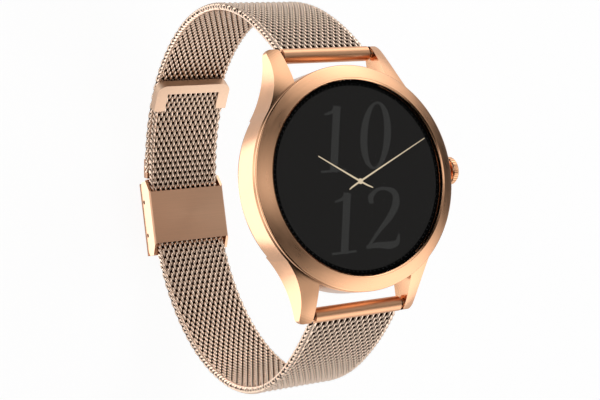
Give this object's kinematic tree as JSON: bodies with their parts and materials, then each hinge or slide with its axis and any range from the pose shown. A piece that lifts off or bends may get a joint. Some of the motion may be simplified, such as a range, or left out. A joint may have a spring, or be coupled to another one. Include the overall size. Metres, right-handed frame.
{
  "type": "smartwatch",
  "caption": "Round smartwatch with a press-and-turn crown, a lugged case and a woven mesh strap, closed in a loop by a hinged sliding clasp.",
  "frame": {"origin": "centre of the flat case back", "axes": "+Z out of the dial, +Y towards 12 o'clock, +X along the crown, away from the case"},
  "size_m": [0.0427, 0.0766, 0.0786],
  "materials": {
    "rose_polished": "polished rose gold plating",
    "rose_satin": "satin rose gold plating",
    "rose_mesh": "woven wire, rose gold plating",
    "steel": "plain",
    "glass": "polished",
    "sensor_glass": "polished, tinted",
    "display": "gloss",
    "seal": "matte",
    "black_plastic": "matte",
    "board": "solder mask",
    "flex": "film",
    "pouch": "foil",
    "gilt": "polished"
  },
  "bodies": {
    "case": {"case_middle": "rose_polished", "bezel": "rose_polished", "bezel_gasket": "seal", "cover_glass": "glass", "display_panel": "display", "display_flex": "flex", "inner_frame": "black_plastic", "main_board": "board", "battery": "pouch", "vibration_motor": "steel", "back_cover": "steel", "back_gasket": "seal", "back_screws": "steel", "sensor_window": "sensor_glass", "sensor_board": "board", "charge_pads": "gilt", "crown_tube": "steel", "crown_switch": "black_plastic"},
    "crown_slider": {"switch_plunger": "black_plastic"},
    "crown": {"crown_knob": "rose_polished", "crown_stem": "steel", "crown_clip": "steel", "crown_seal": "seal"},
    "upper_strap": {"upper_end_tube": "rose_polished", "upper_bar_barrel": "steel", "upper_bar_spring": "steel", "upper_mesh": "rose_mesh", "strap_end_plate": "rose_satin", "cover_pin": "steel"},
    "upper_left_tip": {"upper_tip_left": "steel"},
    "upper_right_tip": {"upper_tip_right": "steel"},
    "clasp_cover": {"clasp_cover": "rose_satin"},
    "lower_strap": {"lower_end_tube": "rose_polished", "lower_bar_barrel": "steel", "lower_bar_spring": "steel", "lower_mesh": "rose_mesh", "tail_tip": "rose_polished", "clasp_sleeve": "rose_satin", "catch_pin": "rose_satin", "lock_pin": "rose_satin"},
    "lower_left_tip": {"lower_tip_left": "steel"},
    "lower_right_tip": {"lower_tip_right": "steel"},
    "lock_lever": {"lock_lever": "rose_satin"}
  },
  "joints": [
    {"name": "crown_press", "type": "slide", "parent": "case", "child": "crown_slider", "axis": [-1, 0, 0], "range_m": [0, 0.0005], "stiffness_N_per_m": 3000},
    {"name": "crown_turn", "type": "hinge", "parent": "crown_slider", "child": "crown", "pos_m": [0.0205, 0, 0.0051], "axis": [1, 0, 0], "continuous": true},
    {"name": "upper_strap_swing", "type": "hinge", "parent": "case", "child": "upper_strap", "pos_m": [0, 0.0229, 0.0023], "axis": [1, 0, 0], "range_deg": [0, 45]},
    {"name": "lower_strap_swing", "type": "hinge", "parent": "case", "child": "lower_strap", "pos_m": [0, -0.0229, 0.0023], "axis": [1, 0, 0], "range_deg": [-18, 0]},
    {"name": "clasp_cover_swing", "type": "hinge", "parent": "upper_strap", "child": "clasp_cover", "pos_m": [0, 0.0082, -0.06795], "axis": [1, 0, 0], "range_deg": [0, 99]},
    {"name": "lock_lever_swing", "type": "hinge", "parent": "lower_strap", "child": "lock_lever", "pos_m": [0, 0.004, -0.06735], "axis": [1, 0, 0], "range_deg": [0, 72]},
    {"name": "upper_left_tip_slide", "type": "slide", "parent": "upper_strap", "child": "upper_left_tip", "axis": [1, 0, 0], "range_m": [0, 0.001], "stiffness_N_per_m": 500, "deforming": ["upper_bar_spring"]},
    {"name": "upper_right_tip_slide", "type": "slide", "parent": "upper_strap", "child": "upper_right_tip", "axis": [-1, 0, 0], "range_m": [0, 0.001], "stiffness_N_per_m": 500, "deforming": ["upper_bar_spring"]},
    {"name": "lower_left_tip_slide", "type": "slide", "parent": "lower_strap", "child": "lower_left_tip", "axis": [1, 0, 0], "range_m": [0, 0.001], "stiffness_N_per_m": 500, "deforming": ["lower_bar_spring"]},
    {"name": "lower_right_tip_slide", "type": "slide", "parent": "lower_strap", "child": "lower_right_tip", "axis": [-1, 0, 0], "range_m": [0, 0.001], "stiffness_N_per_m": 500, "deforming": ["lower_bar_spring"]}
  ],
  "couplings": [
    {"joint": "lower_strap_swing", "follows": "upper_strap_swing", "ratio": -0.4},
    {"joint": "clasp_cover_swing", "follows": "upper_strap_swing", "ratio": 2.2},
    {"joint": "lock_lever_swing", "follows": "upper_strap_swing", "ratio": 1.6}
  ]
}
